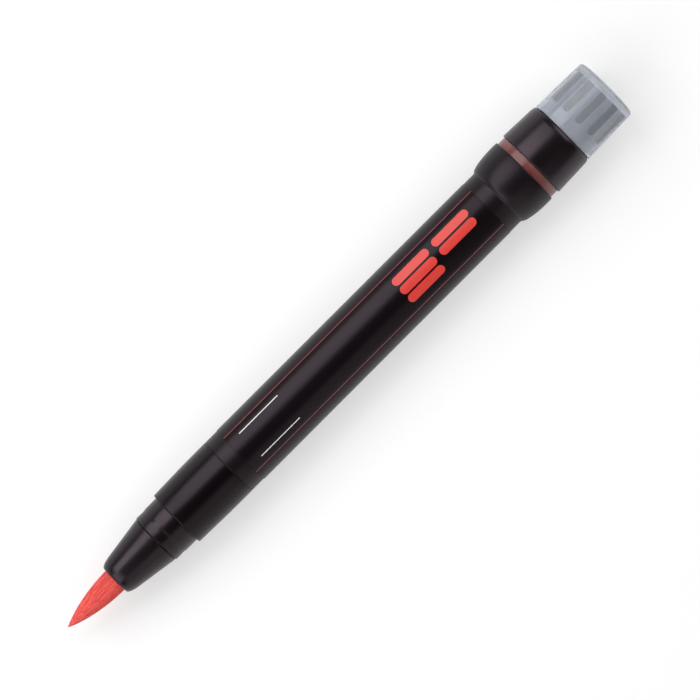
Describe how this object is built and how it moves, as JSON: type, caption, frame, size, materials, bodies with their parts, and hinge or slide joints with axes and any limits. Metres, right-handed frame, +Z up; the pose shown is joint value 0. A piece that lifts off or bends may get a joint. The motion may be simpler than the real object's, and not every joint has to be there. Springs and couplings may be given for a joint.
{
  "type": "brush pen",
  "caption": "Slim black brush pen with a tapered red bristle tip in a screw-on nose cone and a sprung press cap at the tail that feeds paint.",
  "frame": {"origin": "below the middle of the pen, on the surface it lies on", "axes": "+X along the pen from the brush's tip to the tail, +Z up"},
  "size_m": [0.16, 0.0164, 0.0165],
  "materials": {
    "matte_black": "fine matte moulding",
    "gloss_black": "polished moulding",
    "printed_film": "shrunk printed film",
    "red_bristle": "fine nylon bristles",
    "clear_red": "tinted see-through moulding",
    "frosted_grey": "frosted see-through moulding",
    "white_plastic": "natural acetal",
    "grey_plastic": "satin moulding",
    "seal_rubber": "nitrile",
    "steel": "stainless"
  },
  "bodies": {
    "barrel_body": {"barrel": "matte_black", "label_film": "printed_film", "grip_sleeve": "gloss_black", "neck": "matte_black", "nose_seal": "seal_rubber", "neck_seal": "seal_rubber", "feed_tube": "steel", "check_valve": "seal_rubber", "valve_retainer": "white_plastic", "rod_guide": "white_plastic", "ratchet_ring": "white_plastic", "guide_bush": "white_plastic", "rotor_spring": "steel", "return_spring": "steel"},
    "brush_unit": {"brush_tuft": "red_bristle", "tuft_ferrule": "white_plastic"},
    "nose_cone_body": {"nose_cone": "matte_black"},
    "mixing_ball_body": {"mixing_ball": "steel"},
    "piston_body": {"piston": "white_plastic", "piston_ring_front": "seal_rubber", "piston_ring_rear": "seal_rubber", "screw_rod": "white_plastic"},
    "feed_nut_body": {"feed_nut": "white_plastic"},
    "knock_body": {"knock_tube": "white_plastic", "stop_ring": "steel", "travel_band": "clear_red", "tail_sleeve": "gloss_black", "end_plug": "grey_plastic", "end_cap": "frosted_grey"}
  },
  "joints": [
    {"name": "knock_press", "type": "slide", "parent": "barrel_body", "child": "knock_body", "axis": [-1, 0, 0], "range_m": [0, 0.0017], "stiffness_N_per_m": 1500, "springref_m": -0.001, "deforming": ["return_spring"]},
    {"name": "rotor_turn", "type": "hinge", "parent": "barrel_body", "child": "feed_nut_body", "pos_m": [0.0358, 0, 0.00823], "axis": [1, 0, 0], "range_deg": [0, 2520]},
    {"name": "piston_feed", "type": "slide", "parent": "barrel_body", "child": "piston_body", "axis": [-1, 0, 0], "range_m": [0, 0.028]},
    {"name": "ball_roll", "type": "slide", "parent": "barrel_body", "child": "mixing_ball_body", "axis": [1, 0, 0], "range_m": [0, 0.017]},
    {"name": "brush_unit_out", "type": "slide", "parent": "barrel_body", "child": "brush_unit", "axis": [-1, 0, 0], "range_m": [0, 0.0045]},
    {"name": "nose_cone_turn", "type": "hinge", "parent": "brush_unit", "child": "nose_cone_body", "pos_m": [-0.0537, 0, 0.00823], "axis": [-1, 0, 0], "range_deg": [0, 1080]}
  ],
  "couplings": [
    {"joint": "rotor_turn", "follows": "piston_feed", "rad_per_m": 1570.8},
    {"joint": "nose_cone_turn", "follows": "brush_unit_out", "rad_per_m": 4188.8}
  ]
}
